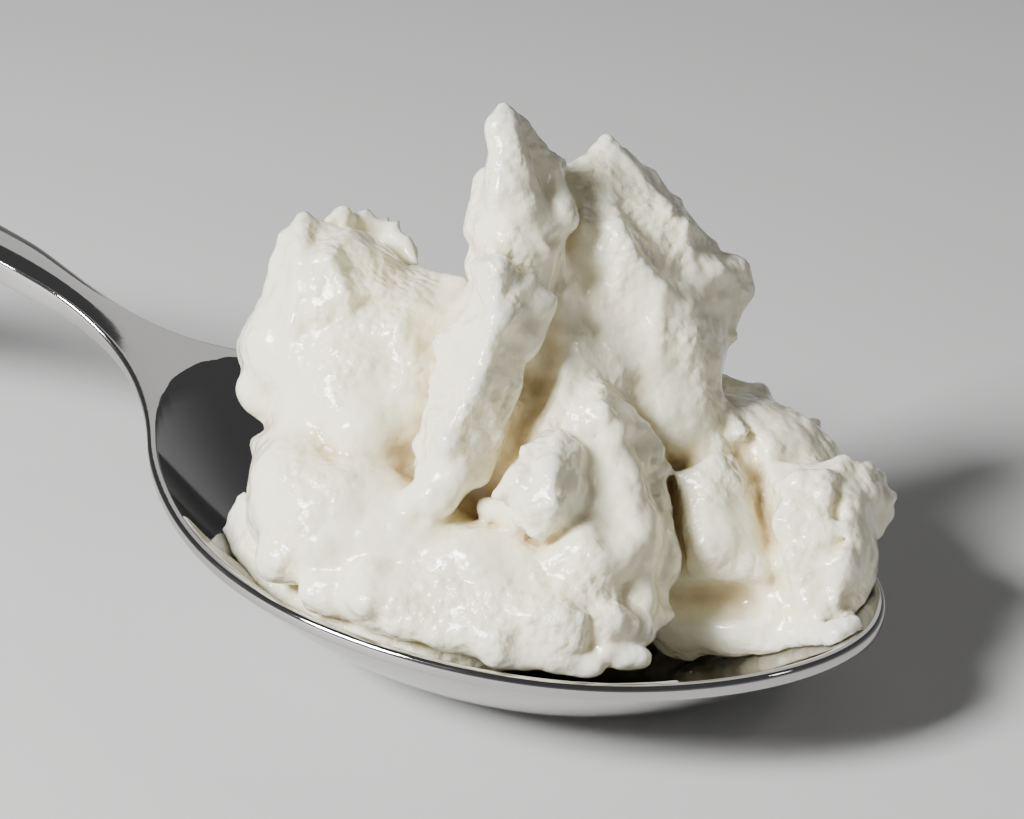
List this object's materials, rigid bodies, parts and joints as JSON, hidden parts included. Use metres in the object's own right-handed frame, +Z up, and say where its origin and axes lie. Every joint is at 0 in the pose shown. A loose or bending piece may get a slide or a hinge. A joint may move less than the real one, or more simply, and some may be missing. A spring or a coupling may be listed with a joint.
{
  "type": "spoonful of quark",
  "caption": "Polished steel tablespoon at rest, holding a tall craggy heap of plain white quark.",
  "frame": {"origin": "middle of the small flat spot under the bowl, on the surface that the spoon lies on", "axes": "+X from the origin to the spoon's tip, +Z up, so the handle runs to -X"},
  "size_m": [0.1998, 0.0471, 0.0488],
  "materials": {
    "polished_steel": "mirror-polished stainless steel with fine wipe marks",
    "quark": "moist fresh cheese, white and slightly translucent, glossy with whey, finely lumpy"
  },
  "bodies": {
    "root": {"spoon": "polished_steel", "quark_heap": "quark"}
  },
  "joints": []
}
